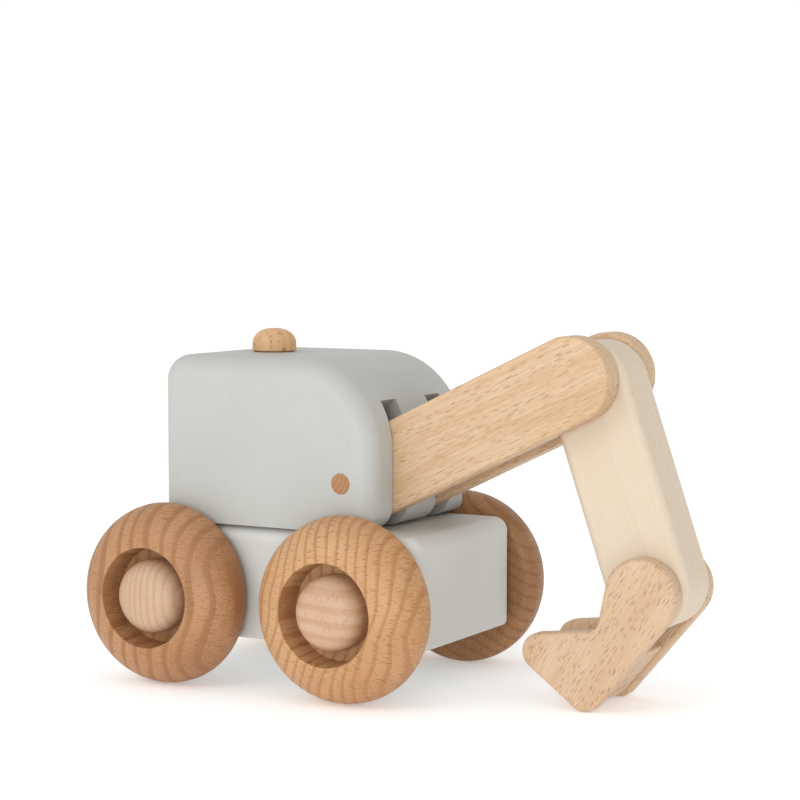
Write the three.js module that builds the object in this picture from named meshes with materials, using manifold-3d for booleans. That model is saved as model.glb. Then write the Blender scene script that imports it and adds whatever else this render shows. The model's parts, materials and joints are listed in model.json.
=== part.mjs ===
// A wooden toy excavator: a painted block chassis on four turned wheels, a painted block cab held by a
// roof peg, and a folding arm of two boom planks, a dipper board and a bucket of two plates and a block.
//
// Millimetres. +X points forward, towards the bucket, +Y to the vehicle's left and +Z up.
// The origin lies on the ground, under the middle of the whole model's bounding box.
import * as THREE from "three";
import { mergeVertices } from "three/addons/utils/BufferGeometryUtils.js";
import Module from "manifold-3d";

const wasm = await Module();
wasm.setup();

const DEG = Math.PI / 180;

// ---- Fits ----
const gluedGap = 0.25; // between faces and round a dowel that the maker glues
const cabSeat = 0.5; // the joint line between the chassis and the cab
const runningGap = 0.3; // round a dowel or peg that a piece turns on
const boardPlay = 0.5; // beside a board that swings between two others
const grounding = 0.05; // between the bucket's heel and the ground

// ---- Chassis block ----
const bodyWidth = 80; // the cab and the chassis are flush, so they share one width
const chassisLength = 132;
const chassisBase = 18.6; // height of its underside above the ground
const chassisHeight = 43.2;
const chassisCornerRadius = 6.5;
const chassisTopRound = 5.5;
const chassisBottomRound = 2.2;

// ---- Wheels and their pegs ----
const wheelRadius = 35;
const wheelWidth = 22;
const wheelPlay = 1; // between a wheel and the chassis side
const wheelSpacing = 10; // between the treads of the front and the rear wheels
const recessRadius = 19.2; // the turned recess in a wheel's outer face
const recessDepth = 12;
const recessTaper = 0.7; // how much narrower the recess is at its floor
const treadDepth = 16.8; // from the outer face to the widest part of the tread
const pegRadius = 5;
const pegDepth = 25; // how far a peg goes into the chassis
const pegHeadRadius = 14.1;
const pegHeadSide = 3.6; // straight side of the head, under its dome
const pegHeadDome = 10.6;
const pegHeadClearance = 0.8; // between the head and the recess floor

// ---- Cab block ----
const cabRear = -48; // from the middle of the wheelbase
const cabLength = 94.7;
const cabHeight = 64.5;
const cabFrontTopRadius = 34;
const cabRearTopRadius = 10;
const cabFrontFootRadius = 9;
const cabSideRound = 8.6;
const slotRoofSlope = 43; // the slots' roofs rise forward at this angle

// ---- Roof peg ----
const roofPegX = -20.3;
const roofPegRadius = 4;
const roofPegDepth = 24; // how far it goes into the chassis
const roofHeadRadius = 8.75;
const roofHeadSide = 2.4;
const roofHeadDome = 6.7;

// ---- Arm boards ----
const armDowelRadius = 4;
const boomPivotSetback = 12.7; // from the cab's front to the cab dowel
const boomFootGap = 2.9; // between the boom's round end and the chassis's top
const boomWidth = 32;
const boomReach = 94.5; // from the cab dowel to the dipper dowel
const boomTipSetback = 1.2; // the rounded tip is centred this much short of the dipper dowel
const plankThickness = 10.5;
const plankEdge = 1.2;
const plankHoleDepth = 7; // of the blind hole for the dipper's dowel

const dipperThickness = 23;
const dipperWidth = 32.7;
const dipperReach = 81.8;
const dipperHeadSetback = 3.3; // how far below the upper dowel its rounded head is centred
const dipperTipSetback = 2.6;
const dipperLean = 18.8; // from the vertical, foot forward
const dipperEdge = 3.3;

// ---- Bucket ----
const plateThickness = 7.5;
const plateHoleDepth = 4.5; // of the blind hole for the bucket's dowel
const plateLobeRadius = 13.8; // round the bucket dowel
const plateToe = { x: -39.6, z: -23.5, radius: 7 }; // centre of the rounded toe, from the bucket dowel
const plateHeel = { x: -21.8, z: -37.9, radius: 6.1 };
const plateInstep = { x: -21.5, z: -8.7, radius: 5.5 }; // the hollow corner above the toe
const plateEdge = 1.5;
const blockThickness = 16;
const blockInset = 1.5; // behind the plates' edges
const blockTopDrop = 20; // from the bucket dowel, along the plates' back edge
const blockCorner = 1;
const blockEdge = 0.4;

// ---- Places that follow from the sizes above ----
const sideFace = bodyWidth / 2;
const wheelbase = 2 * wheelRadius + wheelSpacing;
const chassisTop = chassisBase + chassisHeight;
const cabBase = chassisTop + cabSeat;
const cabTop = cabBase + cabHeight;
const cabFront = cabRear + cabLength;
const boomPivotX = cabFront - boomPivotSetback;
const boomPivotHeight = chassisTop + boomFootGap + boomWidth / 2;
const wheelInnerFace = sideFace + wheelPlay;
const wheelOuterFace = wheelInnerFace + wheelWidth;
const midLobeHalf = dipperThickness / 2;
const plankInnerFace = midLobeHalf + boardPlay;
const plankOuterFace = plankInnerFace + plankThickness;
const slotWidth = plankThickness + 2 * boardPlay;
const slotRadius = boomWidth / 2 + 2 * boardPlay;
const plateInnerFace = midLobeHalf + boardPlay;
const heelDrop = -plateHeel.z + plateHeel.radius;
// The boom's lift is the one that sets the bucket's heel on the ground.
const boomRise = dipperReach * Math.cos(dipperLean * DEG) + heelDrop + grounding - boomPivotHeight;
const boomLift = Math.asin(boomRise / boomReach);
const dipperAngle = -(90 - dipperLean) * DEG;

// ---- How finely the round shapes are drawn ----
const ROUND_STEPS = 5; // along the cab's large quarter-round edges
const BLOCK_EDGE_STEPS = 3; // along the edges of the chassis and the dipper
const EDGE_STEPS = 2; // along a plank's or a plate's small eased edge
const CORNER_STEPS = 5; // along each corner of a large block's outline
const ARC_STEPS = 11; // along each round of a board's outline
const TREAD_STEPS = 3; // from a wheel's inner face to its tread
const CROWN_STEPS = 7; // from the tread to the recess
const DOME_STEPS = 6;
const DOWEL_SIDES = 20;
const WHEEL_SIDES = 36;
const CUTTER_MARGIN = 20; // how far a cutter runs on past the piece it cuts
const domeFullness = 0.86; // a head's dome is fuller than a half ellipse, which would be 1

// ---- Materials ----
function finish(name, colour, roughness) {
  return new THREE.MeshStandardMaterial({ name, color: colour, roughness, metalness: 0 });
}

const greyPaint = () => finish("grey paint on beech", "#c8c9c5", 0.6);
const oiledBeech = () => finish("oiled beech", "#d5a878", 0.55);
const paleBeech = () => finish("pale beech", "#e8c8a0", 0.55);
const pinkBeech = () => finish("steamed beech", "#d8b496", 0.5);
const creamStain = () => finish("cream stain on beech", "#e8d7c0", 0.6);

// ---- Shapes ----

// The outline of a belt drawn tightly round discs, counter-clockwise. A disc of negative radius is a
// hollow corner, which the belt passes on the inside. An inset moves the whole outline inwards.
function beltOutline(discs, inset = 0, steps = ARC_STEPS) {
  const rings = discs.map((d) => ({ x: d.x, y: d.y, r: d.r - inset }));
  const normals = rings.map((a, i) => {
    const b = rings[(i + 1) % rings.length];
    const along = Math.atan2(b.y - a.y, b.x - a.x);
    const apart = Math.hypot(b.x - a.x, b.y - a.y);
    return along - Math.acos((a.r - b.r) / apart);
  });
  return rings.flatMap((ring, i) => {
    const start = normals[(i + rings.length - 1) % rings.length];
    let sweep = (normals[i] - start) % (2 * Math.PI);
    if (ring.r > 0 && sweep < 0) sweep += 2 * Math.PI;
    if (ring.r < 0 && sweep > 0) sweep -= 2 * Math.PI;
    return Array.from({ length: steps + 1 }, (_, k) => {
      const angle = start + (sweep * k) / steps;
      return new THREE.Vector2(ring.x + ring.r * Math.cos(angle), ring.y + ring.r * Math.sin(angle));
    });
  });
}

// A slab between two heights whose edges are rounded. outline(inset) gives its outline, which keeps
// the same number of points at every inset.
function roundedSlab(outline, low, high, lowRound, highRound, steps) {
  const levels = [];
  for (let k = 0; k <= steps; k += 1) {
    const angle = (k / steps) * (Math.PI / 2);
    levels.push({ inset: lowRound * (1 - Math.sin(angle)), h: low + lowRound * (1 - Math.cos(angle)) });
  }
  for (let k = steps; k >= 0; k -= 1) {
    const angle = (k / steps) * (Math.PI / 2);
    levels.push({ inset: highRound * (1 - Math.sin(angle)), h: high - highRound * (1 - Math.cos(angle)) });
  }
  const rings = levels.map((level) => outline(level.inset));
  const count = rings[0].length;
  const position = rings.flatMap((ring, k) => ring.flatMap((p) => [p.x, p.y, levels[k].h]));
  const index = [];
  for (let k = 0; k < rings.length - 1; k += 1) {
    for (let i = 0; i < count; i += 1) {
      const a = k * count + i;
      const b = k * count + ((i + 1) % count);
      index.push(a, b, b + count, a, b + count, a + count);
    }
  }
  const top = (rings.length - 1) * count;
  for (const [a, b, c] of THREE.ShapeUtils.triangulateShape(rings[0], [])) index.push(a, c, b);
  for (const [a, b, c] of THREE.ShapeUtils.triangulateShape(rings.at(-1), [])) {
    index.push(top + a, top + b, top + c);
  }
  const geometry = new THREE.BufferGeometry();
  geometry.setAttribute("position", new THREE.Float32BufferAttribute(position, 3));
  return geometry.setIndex(index);
}

// A board seen from the vehicle's right: its outline is drawn in X and Z, and its thickness runs along
// Y from `from` to `to`.
function board(discs, from, to, edge, steps = EDGE_STEPS) {
  const outline = (inset) => beltOutline(discs, inset);
  return roundedSlab(outline, -to, -from, edge, edge, steps).rotateX(Math.PI / 2);
}

// A sharp-edged prism with its outline in X and Z, as a cutter.
function prism(points, from, to) {
  const geometry = new THREE.ExtrudeGeometry(new THREE.Shape(points), {
    depth: to - from,
    bevelEnabled: false,
  });
  return geometry.rotateX(Math.PI / 2).translate(0, to, 0);
}

// A dowel or a drilled hole along Y, between two Ys given in either order.
function dowel(radius, from, to) {
  const geometry = new THREE.CylinderGeometry(radius, radius, Math.abs(to - from), DOWEL_SIDES);
  return geometry.translate(0, (from + to) / 2, 0);
}

// The hole that the roof peg's shank fills, from one height to another.
function roofPegHole(from, to) {
  const hole = dowel(roofPegRadius + gluedGap, from, to);
  return hole.rotateX(Math.PI / 2).translate(roofPegX, 0, 0);
}

// A turned shape about its own Y axis, from a profile of [radius, height] pairs that runs upwards.
function turned(profile, sides) {
  return new THREE.LatheGeometry(
    profile.map(([r, h]) => new THREE.Vector2(r, h)),
    sides,
  );
}

// The profile of a domed head: a straight side, then a dome that is fuller than a half ellipse.
function domedHead(radius, base, side, dome) {
  const profile = [[radius, base]];
  for (let k = 0; k < DOME_STEPS; k += 1) {
    const angle = (k / DOME_STEPS) * (Math.PI / 2);
    const across = Math.cos(angle) ** domeFullness;
    const up = Math.sin(angle) ** domeFullness;
    profile.push([radius * across, base + side + dome * up]);
  }
  profile.push([0, base + side + dome]);
  return profile;
}

// ---- Solids ----
function toSolid(geometry) {
  const bare = geometry.clone();
  bare.deleteAttribute("normal");
  bare.deleteAttribute("uv");
  const merged = mergeVertices(bare, 1e-4);
  return new wasm.Manifold(
    new wasm.Mesh({
      numProp: 3,
      vertProperties: merged.attributes.position.array,
      triVerts: new Uint32Array(merged.index.array),
    }),
  );
}

function toGeometry(solid) {
  const mesh = solid.getMesh();
  const geometry = new THREE.BufferGeometry();
  geometry.setAttribute("position", new THREE.BufferAttribute(mesh.vertProperties, 3));
  geometry.setIndex(new THREE.BufferAttribute(mesh.triVerts, 1));
  geometry.computeVertexNormals();
  return geometry;
}

function cut(geometry, ...cutters) {
  const solid = cutters.reduce((left, cutter) => left.subtract(toSolid(cutter)), toSolid(geometry));
  return toGeometry(solid);
}

function piece(name, geometry, material) {
  const mesh = new THREE.Mesh(geometry, material);
  mesh.name = name;
  return mesh;
}

// ---- Chassis ----
function makeChassis() {
  const cornerX = chassisLength / 2 - chassisCornerRadius;
  const cornerY = sideFace - chassisCornerRadius;
  const corners = [
    { x: cornerX, y: -cornerY, r: chassisCornerRadius },
    { x: cornerX, y: cornerY, r: chassisCornerRadius },
    { x: -cornerX, y: cornerY, r: chassisCornerRadius },
    { x: -cornerX, y: -cornerY, r: chassisCornerRadius },
  ];
  const outline = (inset) => beltOutline(corners, inset, CORNER_STEPS);
  const block = roundedSlab(
    outline,
    chassisBase,
    chassisTop,
    chassisBottomRound,
    chassisTopRound,
    BLOCK_EDGE_STEPS,
  );
  const shankHole = roofPegHole(chassisTop - roofPegDepth - gluedGap, cabTop);
  const axleHoles = [-1, 1].flatMap((end) =>
    [-1, 1].map((side) => {
      const mouth = side * (sideFace + CUTTER_MARGIN);
      const floor = side * (sideFace - pegDepth - gluedGap);
      const hole = dowel(pegRadius + gluedGap, mouth, floor);
      return hole.translate((end * wheelbase) / 2, 0, wheelRadius);
    }),
  );
  return piece("chassis", cut(block, shankHole, ...axleHoles), greyPaint());
}

// ---- Cab ----

// The outline of one slot's hollow about the boom dowel: round the plank's end, a roof that slopes at
// the slope angle, and open at the front and the foot.
function slotOutline() {
  const below = boomPivotHeight - cabBase + CUTTER_MARGIN;
  const beyond = cabLength;
  const slope = slotRoofSlope * DEG;
  const roofStart = new THREE.Vector2(-Math.sin(slope), Math.cos(slope)).multiplyScalar(slotRadius);
  const roofRun = new THREE.Vector2(Math.cos(slope), Math.sin(slope)).multiplyScalar(beyond);
  const points = [
    new THREE.Vector2(-slotRadius, -below),
    new THREE.Vector2(beyond, -below),
    roofStart.clone().add(roofRun),
  ];
  for (let k = 0; k <= ARC_STEPS; k += 1) {
    const angle = Math.PI / 2 + slope + ((Math.PI / 2 - slope) * k) / ARC_STEPS;
    points.push(new THREE.Vector2(Math.cos(angle), Math.sin(angle)).multiplyScalar(slotRadius));
  }
  return points;
}

function makeCab() {
  // The block is drawn deeper than it is, and its flat foot is cut afterwards.
  const sunk = cabBase - cabRearTopRadius;
  const corners = [
    { x: cabRear + cabRearTopRadius, y: cabTop - cabRearTopRadius, r: cabRearTopRadius },
    { x: cabRear + cabRearTopRadius, y: sunk, r: cabRearTopRadius },
    { x: cabFront - cabRearTopRadius, y: sunk, r: cabRearTopRadius },
    { x: cabFront - cabFrontTopRadius, y: cabTop - cabFrontTopRadius, r: cabFrontTopRadius },
  ];
  const outline = (inset) => beltOutline(corners, inset, CORNER_STEPS);
  const block = roundedSlab(outline, -sideFace, sideFace, cabSideRound, cabSideRound, ROUND_STEPS);
  block.rotateX(Math.PI / 2);

  const footCentre = { x: cabFront - cabFrontFootRadius, z: cabBase + cabFrontFootRadius };
  const footPoints = [
    new THREE.Vector2(cabRear - CUTTER_MARGIN, cabBase),
    new THREE.Vector2(cabRear - CUTTER_MARGIN, cabBase - CUTTER_MARGIN),
    new THREE.Vector2(cabFront + CUTTER_MARGIN, cabBase - CUTTER_MARGIN),
    new THREE.Vector2(cabFront + CUTTER_MARGIN, footCentre.z),
  ];
  for (let k = 0; k <= ARC_STEPS; k += 1) {
    const angle = ((-Math.PI / 2) * k) / ARC_STEPS;
    const x = footCentre.x + cabFrontFootRadius * Math.cos(angle);
    const z = footCentre.z + cabFrontFootRadius * Math.sin(angle);
    footPoints.push(new THREE.Vector2(x, z));
  }
  const foot = prism(footPoints, -bodyWidth, bodyWidth);

  const slots = [-1, 1].map((side) => {
    const near = side * (midLobeHalf + slotWidth);
    const far = side * midLobeHalf;
    const slot = prism(slotOutline(), Math.min(near, far), Math.max(near, far));
    return slot.translate(boomPivotX, 0, boomPivotHeight);
  });
  const pivotHole = dowel(armDowelRadius + gluedGap, -bodyWidth, bodyWidth);
  pivotHole.translate(boomPivotX, 0, boomPivotHeight);
  const shankHole = roofPegHole(chassisTop, cabTop + CUTTER_MARGIN);
  return piece("cab", cut(block, foot, ...slots, pivotHole, shankHole), greyPaint());
}

function makeRoofPeg() {
  const shank = chassisTop - roofPegDepth - cabTop;
  const head = domedHead(roofHeadRadius, gluedGap, roofHeadSide, roofHeadDome);
  const profile = [[0, shank], [roofPegRadius, shank], [roofPegRadius, gluedGap], ...head];
  const peg = piece("roof_peg", turned(profile, DOWEL_SIDES), oiledBeech());
  peg.rotation.x = Math.PI / 2;
  peg.position.set(roofPegX, 0, cabTop);
  return peg;
}

function makeBoomPivotDowel() {
  const reach = sideFace + gluedGap;
  const pin = piece("boom_pivot_dowel", dowel(armDowelRadius, -reach, reach), pinkBeech());
  pin.position.set(boomPivotX, 0, boomPivotHeight);
  return pin;
}

// ---- Wheels ----

// A wheel's profile about its axle, from its inner face at height 0 to its outer face.
function wheelProfile() {
  const bore = pegRadius + runningGap;
  const floor = wheelWidth - recessDepth;
  const treadHeight = wheelWidth - treadDepth;
  const profile = [[bore, 0]];
  for (let k = 0; k <= TREAD_STEPS; k += 1) {
    const angle = ((k / TREAD_STEPS - 1) * Math.PI) / 2;
    profile.push([
      wheelRadius - treadHeight + treadHeight * Math.cos(angle),
      treadHeight + treadHeight * Math.sin(angle),
    ]);
  }
  const crown = wheelRadius - recessRadius;
  for (let k = 1; k <= CROWN_STEPS; k += 1) {
    const angle = (k / CROWN_STEPS) * (Math.PI / 2);
    profile.push([recessRadius + crown * Math.cos(angle), treadHeight + treadDepth * Math.sin(angle)]);
  }
  profile.push([recessRadius - recessTaper, floor], [bore, floor], [bore, 0]);
  return profile;
}

function pegProfile() {
  const end = -wheelInnerFace + sideFace - pegDepth;
  const base = wheelWidth - recessDepth + pegHeadClearance;
  const head = domedHead(pegHeadRadius, base, pegHeadSide, pegHeadDome);
  return [[0, end], [pegRadius, end], [pegRadius, base], ...head];
}

function makeWheels() {
  const group = new THREE.Group();
  for (const [endName, end] of [["front", 1], ["rear", -1]]) {
    for (const [sideName, side] of [["right", -1], ["left", 1]]) {
      const wheel = piece(`wheel_${endName}_${sideName}`, turned(wheelProfile(), WHEEL_SIDES), oiledBeech());
      const peg = piece(`axle_peg_${endName}_${sideName}`, turned(pegProfile(), DOWEL_SIDES), pinkBeech());
      for (const mesh of [wheel, peg]) {
        mesh.position.set((end * wheelbase) / 2, side * wheelInnerFace, wheelRadius);
        if (side < 0) mesh.rotation.x = Math.PI;
        group.add(mesh);
      }
    }
  }
  return group;
}

// ---- Boom ----
function makeBoomPlank(name, side) {
  const tip = boomReach - boomTipSetback;
  const discs = [
    { x: 0, y: 0, r: boomWidth / 2 },
    { x: tip, y: 0, r: boomWidth / 2 },
  ];
  const inner = side * plankInnerFace;
  const outer = side * plankOuterFace;
  const plank = board(discs, Math.min(inner, outer), Math.max(inner, outer), plankEdge);
  const pivotHole = dowel(armDowelRadius + runningGap, -sideFace, sideFace);
  const tipHole = dowel(armDowelRadius + gluedGap, 0, side * (plankInnerFace + plankHoleDepth));
  return piece(name, cut(plank, pivotHole, tipHole.translate(boomReach, 0, 0)), paleBeech());
}

// ---- Dipper ----
function makeDipper() {
  const half = dipperThickness / 2;
  const discs = [
    { x: dipperHeadSetback, y: 0, r: dipperWidth / 2 },
    { x: dipperReach - dipperTipSetback, y: 0, r: dipperWidth / 2 },
  ];
  const blank = board(discs, -half, half, dipperEdge, BLOCK_EDGE_STEPS);
  const hole = dowel(armDowelRadius + runningGap, -bodyWidth, bodyWidth);
  const lowerHole = hole.clone().translate(dipperReach, 0, 0);
  return piece("dipper", cut(blank, hole, lowerHole), creamStain());
}

// A hidden dowel whose two ends are glued in blind holes either side of a turning board.
function makeHiddenDowel(name, innerFace, holeDepth) {
  const reach = innerFace + holeDepth - gluedGap;
  return piece(name, dowel(armDowelRadius, -reach, reach), pinkBeech());
}

// ---- Bucket ----
const plateDiscs = [
  { x: 0, y: 0, r: plateLobeRadius },
  { x: plateInstep.x, y: plateInstep.z, r: -plateInstep.radius },
  { x: plateToe.x, y: plateToe.z, r: plateToe.radius },
  { x: plateHeel.x, y: plateHeel.z, r: plateHeel.radius },
];

function makeBucketPlate(name, side) {
  const inner = side * plateInnerFace;
  const outer = side * (plateInnerFace + plateThickness);
  const plate = board(plateDiscs, Math.min(inner, outer), Math.max(inner, outer), plateEdge);
  const hole = dowel(armDowelRadius + gluedGap, 0, side * (plateInnerFace + plateHoleDepth));
  return piece(name, cut(plate, hole), paleBeech());
}

// The block is a length of board glued between the plates along their back edge, and its foot is cut
// off along their sole.
function makeBucketBlock() {
  const heelToDowel = Math.atan2(-plateHeel.z, -plateHeel.x);
  const apart = Math.hypot(plateHeel.x, plateHeel.z);
  const backAngle = heelToDowel - Math.asin((plateLobeRadius - plateHeel.radius) / apart);
  const half = plateInnerFace - gluedGap;
  const back = plateLobeRadius - blockInset;
  const top = -blockTopDrop - blockCorner;
  const foot = -apart - CUTTER_MARGIN;
  const strip = board(
    [
      { x: top, y: -back + blockCorner, r: blockCorner },
      { x: top, y: -back + blockThickness - blockCorner, r: blockCorner },
      { x: foot, y: -back + blockThickness - blockCorner, r: blockCorner },
      { x: foot, y: -back + blockCorner, r: blockCorner },
    ],
    -half,
    half,
    blockEdge,
  ).rotateY(-backAngle);
  const sole = prism(beltOutline(plateDiscs, blockInset), -bodyWidth, bodyWidth);
  return piece("bucket_block", toGeometry(toSolid(strip).intersect(toSolid(sole))), oiledBeech());
}

// ---- Assembly ----

// Each group of the arm has its origin at its dowel and turns about it. Raising turns against +Y.
const bucket = new THREE.Group();
bucket.add(makeBucketPlate("bucket_plate_right", -1));
bucket.add(makeBucketPlate("bucket_plate_left", 1));
bucket.add(makeBucketBlock());
bucket.add(makeHiddenDowel("bucket_pivot_dowel", plateInnerFace, plateHoleDepth));
bucket.position.x = dipperReach;
bucket.rotation.y = dipperAngle;

const dipper = new THREE.Group();
dipper.add(makeDipper(), bucket);
dipper.position.x = boomReach;
dipper.rotation.y = boomLift - dipperAngle;

const boom = new THREE.Group();
boom.add(makeBoomPlank("boom_plank_right", -1));
boom.add(makeBoomPlank("boom_plank_left", 1));
const dipperPivotDowel = makeHiddenDowel("dipper_pivot_dowel", plankInnerFace, plankHoleDepth);
dipperPivotDowel.position.x = boomReach;
boom.add(dipperPivotDowel, dipper);
boom.position.set(boomPivotX, 0, boomPivotHeight);
boom.rotation.y = -boomLift;

const excavator = new THREE.Group();
excavator.add(makeChassis(), makeCab(), makeRoofPeg(), makeBoomPivotDowel(), makeWheels(), boom);
excavator.updateMatrixWorld(true);

const bounds = new THREE.Box3().setFromObject(excavator, true);
excavator.position.x = -(bounds.min.x + bounds.max.x) / 2;
excavator.updateMatrixWorld(true);

export default excavator;
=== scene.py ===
# %% [markdown]
# # A wooden toy excavator
# The toy is made of beech: a painted block cab on a painted block chassis, four turned wheels on turned
# pegs, and an arm of two planks, a board and a bucket that hinge on 8 mm dowels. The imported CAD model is
# loaded first. It gives every place and every joint, and the fine pieces below are made around it.

import json
import math

import bmesh
import bpy
from mathutils import Matrix, Vector


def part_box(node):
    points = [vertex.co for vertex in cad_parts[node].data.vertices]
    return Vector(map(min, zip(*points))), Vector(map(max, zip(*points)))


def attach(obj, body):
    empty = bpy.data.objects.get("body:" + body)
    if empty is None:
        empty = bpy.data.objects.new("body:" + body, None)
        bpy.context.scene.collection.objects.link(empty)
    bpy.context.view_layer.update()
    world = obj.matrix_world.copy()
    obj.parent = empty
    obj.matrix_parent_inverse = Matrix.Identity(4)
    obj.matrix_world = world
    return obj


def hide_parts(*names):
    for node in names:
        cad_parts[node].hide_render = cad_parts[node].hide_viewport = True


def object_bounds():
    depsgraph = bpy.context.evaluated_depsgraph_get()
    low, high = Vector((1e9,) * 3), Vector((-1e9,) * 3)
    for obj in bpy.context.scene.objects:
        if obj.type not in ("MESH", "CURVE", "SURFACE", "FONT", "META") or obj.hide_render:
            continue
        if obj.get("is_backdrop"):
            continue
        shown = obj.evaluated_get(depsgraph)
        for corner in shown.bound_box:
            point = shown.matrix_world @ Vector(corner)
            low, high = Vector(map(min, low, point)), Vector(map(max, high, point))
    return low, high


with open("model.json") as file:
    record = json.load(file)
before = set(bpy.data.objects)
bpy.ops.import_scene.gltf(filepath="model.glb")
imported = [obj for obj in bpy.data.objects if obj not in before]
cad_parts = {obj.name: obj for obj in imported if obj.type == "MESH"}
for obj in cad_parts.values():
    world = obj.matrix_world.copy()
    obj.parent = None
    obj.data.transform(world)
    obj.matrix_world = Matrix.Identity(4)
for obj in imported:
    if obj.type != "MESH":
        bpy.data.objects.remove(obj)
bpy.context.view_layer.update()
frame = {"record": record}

# %% [markdown]
# Sizes are thought of in millimetres, as on a workshop drawing, and Blender works in metres. One value
# turns one into the other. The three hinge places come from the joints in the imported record.

# %% Sizes and hinge places
MM = 0.001
SIDES = {"right": -1, "left": 1}


def in_mm(lengths):
    return [round(v / MM, 1) for v in lengths]


hinges = {j["name"]: Vector(j["pos_m"]) for j in frame["record"]["behaviour"]["joints"]}
cab_dowel = hinges["boom_lift"]
dipper_dowel = hinges["dipper_draw"]
bucket_dowel = hinges["bucket_curl"]
print("hinges, mm:", in_mm(cab_dowel), in_mm(dipper_dowel), in_mm(bucket_dowel))

# %% [markdown]
# Colours are written as the sRGB hex values of a paint chart. Blender's shaders want linear light, so one
# function turns one into the other. One more function adds a node, sets its values and links it.

# %% Colour and node helpers
# A Mix node has a set of sockets for each kind of data. These are the places of the ones for colours.
MIX_FIRST, MIX_SECOND = 6, 7
MIX_RESULT = 2


def hex_colour(code):
    """An sRGB hex value as linear light, by the curve that the sRGB standard gives."""
    channels = [int(code[i : i + 2], 16) / 255 for i in (1, 3, 5)]
    linear = [c / 12.92 if c <= 0.04045 else ((c + 0.055) / 1.055) ** 2.4 for c in channels]
    return (*linear, 1.0)


def add_node(tree, kind, links=None, inputs=None, **settings):
    node = tree.nodes.new(kind)
    for name, value in settings.items():
        setattr(node, name, value)
    for key, value in (inputs or {}).items():
        node.inputs[key].default_value = value
    for key, source in (links or {}).items():
        tree.links.new(source, node.inputs[key])
    return node


# %% [markdown]
# ## Beech, all the way through
# Beech is a pale, even wood. Its growth rings are faint, and its rays, thin sheets of cells that run out
# from the pith, show as short dark dashes on a face cut along the rings and as fine lines across the rings
# on an end. So the wood is made as a solid pattern, not as a picture on the surface: every point of a piece
# knows how far it is from the pith, at what angle and how far along the grain. A rounded end, a flat face
# and a turned dome then each show what a real cut would.
#
# The real pieces are sanded and then oiled or waxed. The wax leaves a soft sheen on the rounds and lets the
# rays stand out as darker, very slightly sunken dashes.

# %% A solid beech material
WOOD_IOR = 1.5
# Waves in each mm, along the grain and across it. The drift bends the rings slowly. Pores and fibres are far
# finer than the render shows, so they're drawn about 0.3 mm across.
DRIFT_SCALE = (0.008, 0.03, 0.03)
FIBRE_SCALE = (0.1, 3.0, 3.0)
# Parts of a ring's width: where its late wood starts to darken, and where it breaks off to the next ring.
LATE_WOOD = 0.4
RING_BREAK = 0.94
# A dash is solid out to this part of its reach and then fades. The faintest has this strength.
DASH_CORE = 0.6
FAINTEST_DASH = 0.3
LEAST_PITH = 20.0
# The ground's tone, from pale to deep, is this plus the drift, which is about a half.
GROUND_TONE = 0.15
SHEEN_SPREAD = 0.16
DASH_HOLLOW = 0.6
WOOD_BUMP = 0.25
WOOD_RELIEF = 0.1


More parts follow.
